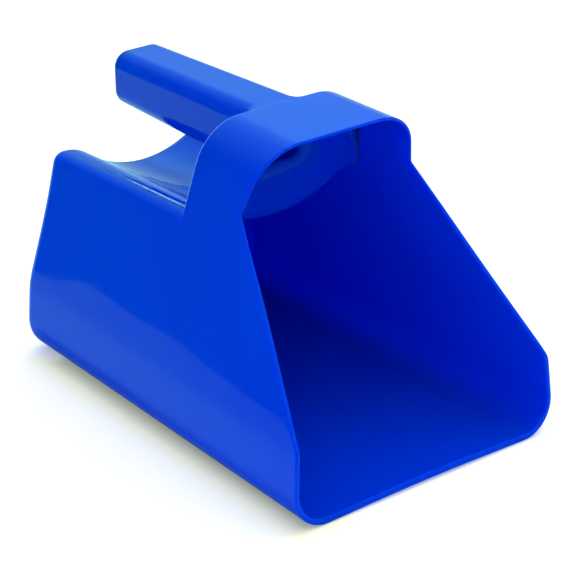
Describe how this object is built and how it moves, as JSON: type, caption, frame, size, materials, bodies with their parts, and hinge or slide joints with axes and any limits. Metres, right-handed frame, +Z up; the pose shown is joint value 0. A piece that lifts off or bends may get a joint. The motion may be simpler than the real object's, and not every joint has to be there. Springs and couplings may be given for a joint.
{
  "type": "feed scoop",
  "caption": "Enclosed feed scoop in glossy moulded plastic: flat-bottomed tub with a raked open mouth, hooded back, dished deck and a straight hollow grip over the deck.",
  "frame": {"origin": "centre of the object's box at floor level, on the flat underside of the tub", "axes": "+Z up; the open mouth faces -Y and the grip runs back towards +Y; +X to the right when looking from the mouth to the grip"},
  "size_m": [0.1573, 0.2358, 0.155],
  "materials": {
    "blue_plastic": "smooth, glossy, self-coloured royal blue polyethylene"
  },
  "bodies": {
    "root": {"scoop_shell": "blue_plastic", "deck_panel": "blue_plastic", "grip": "blue_plastic", "grip_end_cap": "blue_plastic"}
  },
  "joints": []
}
